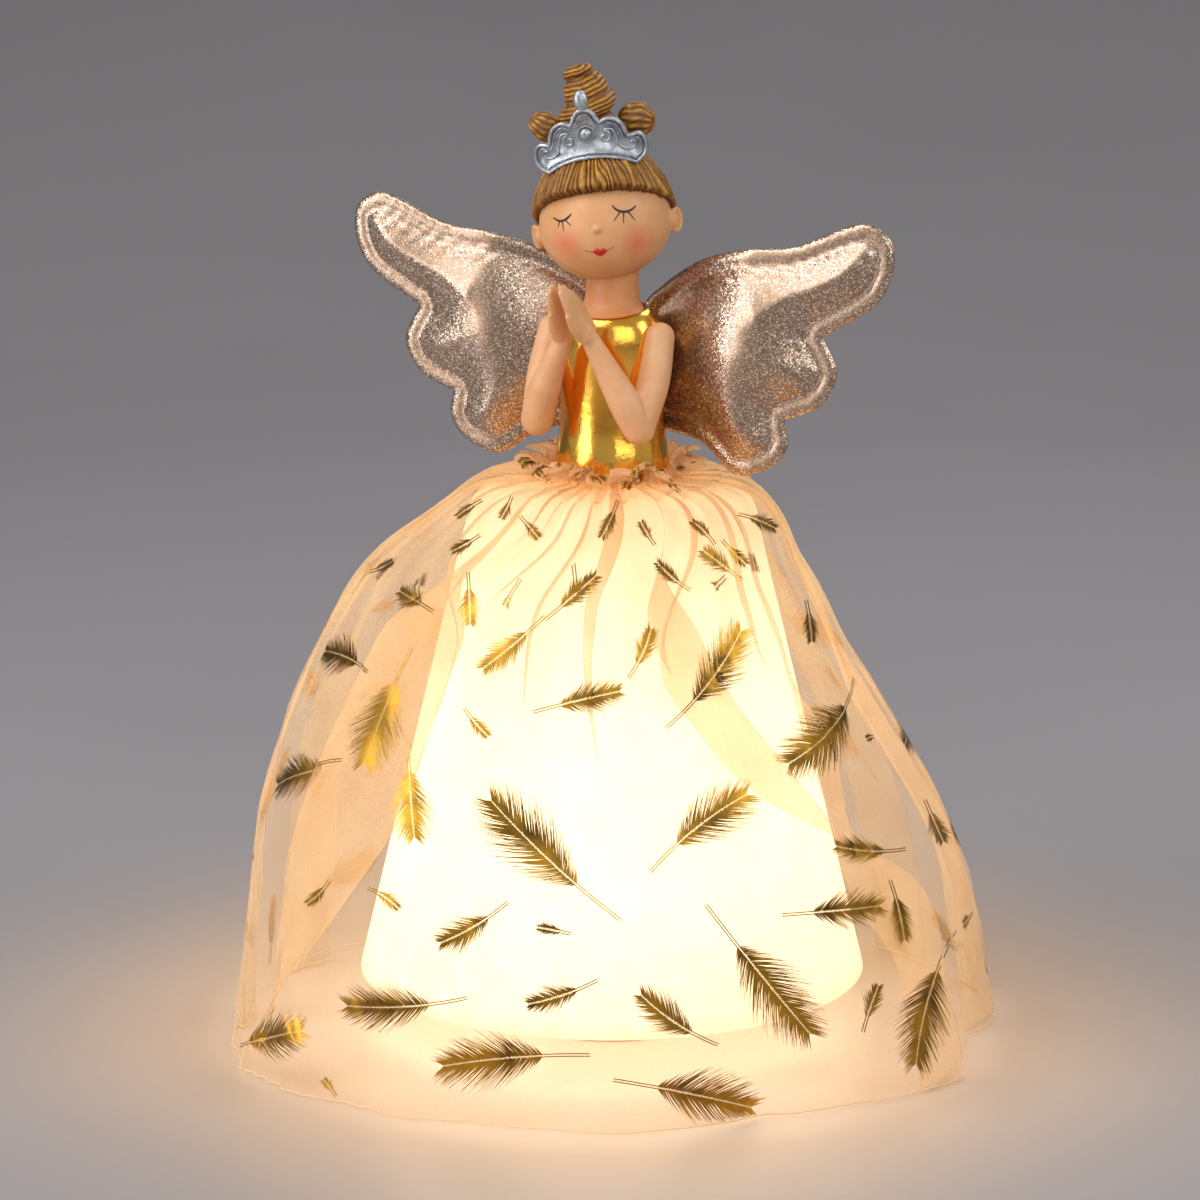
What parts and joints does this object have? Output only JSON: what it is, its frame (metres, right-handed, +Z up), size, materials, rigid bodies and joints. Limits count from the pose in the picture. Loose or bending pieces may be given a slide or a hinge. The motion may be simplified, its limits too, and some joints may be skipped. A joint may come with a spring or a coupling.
{
  "type": "angel tree topper",
  "caption": "Lit tree topper: a praying angel figure with padded wings on a frosted bell diffuser under a gathered sheer skirt, with a tree socket, battery bay and switch below.",
  "frame": {"origin": "on the table under the middle of the skirt, at the foot's underside", "axes": "+Z up along the tree socket; the figure faces -Y, its left is +X"},
  "size_m": [0.2356, 0.2356, 0.2999],
  "materials": {
    "frosted_plastic": "frosted, lit from inside",
    "white_plastic": "moulded satin",
    "skin_paint": "painted resin, satin",
    "hair_paint": "painted resin with golden dry-brushed strands",
    "silver_paint": "silver paint",
    "gold_plate": "vacuum-plated gold",
    "glitter_cloth": "glitter fabric over wadding",
    "organza": "sheer organza with gold foil feathers",
    "elastic": "covered elastic",
    "steel": "zinc plated",
    "cell_jacket": "wrapped cell",
    "board": "circuit board",
    "led_resin": "clear warm resin",
    "red_lead": "insulated wire",
    "black_lead": "insulated wire",
    "black_plastic": "moulded"
  },
  "bodies": {
    "topper": {"diffuser": "frosted_plastic", "base_plate": "white_plastic", "tree_socket": "white_plastic", "socket_nut": "white_plastic", "base_screw_1": "steel", "base_screw_2": "steel", "base_screw_3": "steel", "door_hinge_pin": "steel", "contact_spring_1": "steel", "contact_spring_2": "steel", "contact_spring_3": "steel", "contact_negative": "steel", "contact_bridge_left": "steel", "contact_bridge_right": "steel", "contact_positive": "steel", "figure_washer": "steel", "figure_screw": "steel", "cell_1": "cell_jacket", "cell_2": "cell_jacket", "cell_3": "cell_jacket", "switch_body": "black_plastic", "led_board": "board", "led_1": "led_resin", "led_2": "led_resin", "led_3": "led_resin", "led_4": "led_resin", "led_5": "led_resin", "led_6": "led_resin", "led_7": "led_resin", "led_8": "led_resin", "lead_negative": "black_lead", "lead_positive": "red_lead", "lead_switched": "red_lead", "neck": "skin_paint", "arm_left": "skin_paint", "arm_right": "skin_paint", "head": "skin_paint", "bodice": "gold_plate", "hair_cap": "hair_paint", "top_bun": "hair_paint", "side_bun_left": "hair_paint", "side_bun_right": "hair_paint", "tiara": "silver_paint", "wing_left": "glitter_cloth", "wing_right": "glitter_cloth", "overskirt": "organza", "waist_elastic": "elastic"},
    "battery_door": {"battery_door": "white_plastic", "door_screw": "steel"},
    "switch_knob": {"switch_knob": "black_plastic"}
  },
  "joints": [
    {"name": "battery_door_hinge", "type": "hinge", "parent": "topper", "child": "battery_door", "pos_m": [-0.0264, 0.0465, 0.0173], "axis": [0, 1, 0], "range_deg": [0, 95]},
    {"name": "switch_slide", "type": "slide", "parent": "topper", "child": "switch_knob", "axis": [1, 0, 0], "range_m": [-0.004, 0]}
  ]
}
